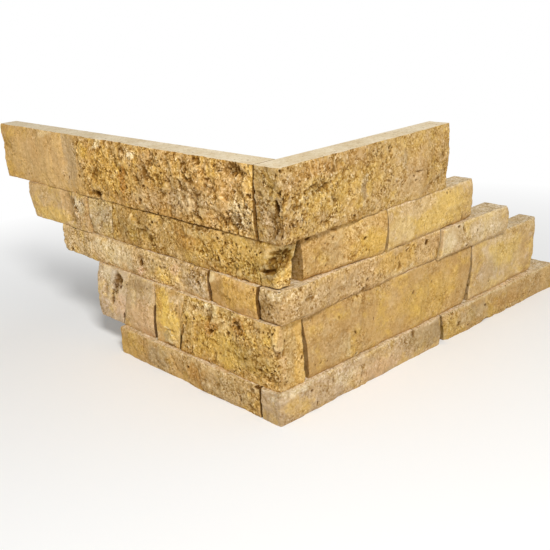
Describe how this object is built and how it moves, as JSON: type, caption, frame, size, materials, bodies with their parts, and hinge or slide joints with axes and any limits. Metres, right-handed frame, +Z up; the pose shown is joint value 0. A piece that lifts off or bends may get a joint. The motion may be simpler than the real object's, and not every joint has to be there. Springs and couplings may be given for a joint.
{
  "type": "ledger stone corner panel",
  "caption": "Outside corner panel of split-face travertine strips glued in interlocking courses, laid on a wall to clad its corner.",
  "frame": {"origin": "the wall's outside corner edge, where the two sawn backs meet, at the level of the underside", "axes": "+Z up, +X along the right leg and out of the left leg's back, +Y along the left leg and out of the right leg's back"},
  "size_m": [0.3039, 0.3315, 0.1524],
  "materials": {
    "golden_travertine": "split face, open pits",
    "tan_travertine": "split face, smooth",
    "beige_travertine": "split face, fine pits"
  },
  "bodies": {
    "root": {"top_course_left_strip": "golden_travertine", "top_course_right_corner_strip": "golden_travertine", "second_course_left_corner_strip": "golden_travertine", "second_course_left_short_strip": "beige_travertine", "second_course_left_end_strip": "tan_travertine", "second_course_right_inner_strip": "tan_travertine", "second_course_right_end_strip": "golden_travertine", "third_course_left_inner_strip": "tan_travertine", "third_course_left_end_strip": "beige_travertine", "third_course_right_corner_strip": "beige_travertine", "third_course_right_end_strip": "beige_travertine", "fourth_course_left_corner_strip": "golden_travertine", "fourth_course_left_golden_strip": "golden_travertine", "fourth_course_left_grey_strip": "beige_travertine", "fourth_course_left_end_strip": "beige_travertine", "fourth_course_right_inner_strip": "tan_travertine", "fourth_course_right_end_strip": "golden_travertine", "bottom_course_left_strip": "tan_travertine", "bottom_course_right_corner_strip": "beige_travertine", "bottom_course_right_end_strip": "tan_travertine"}
  },
  "joints": []
}
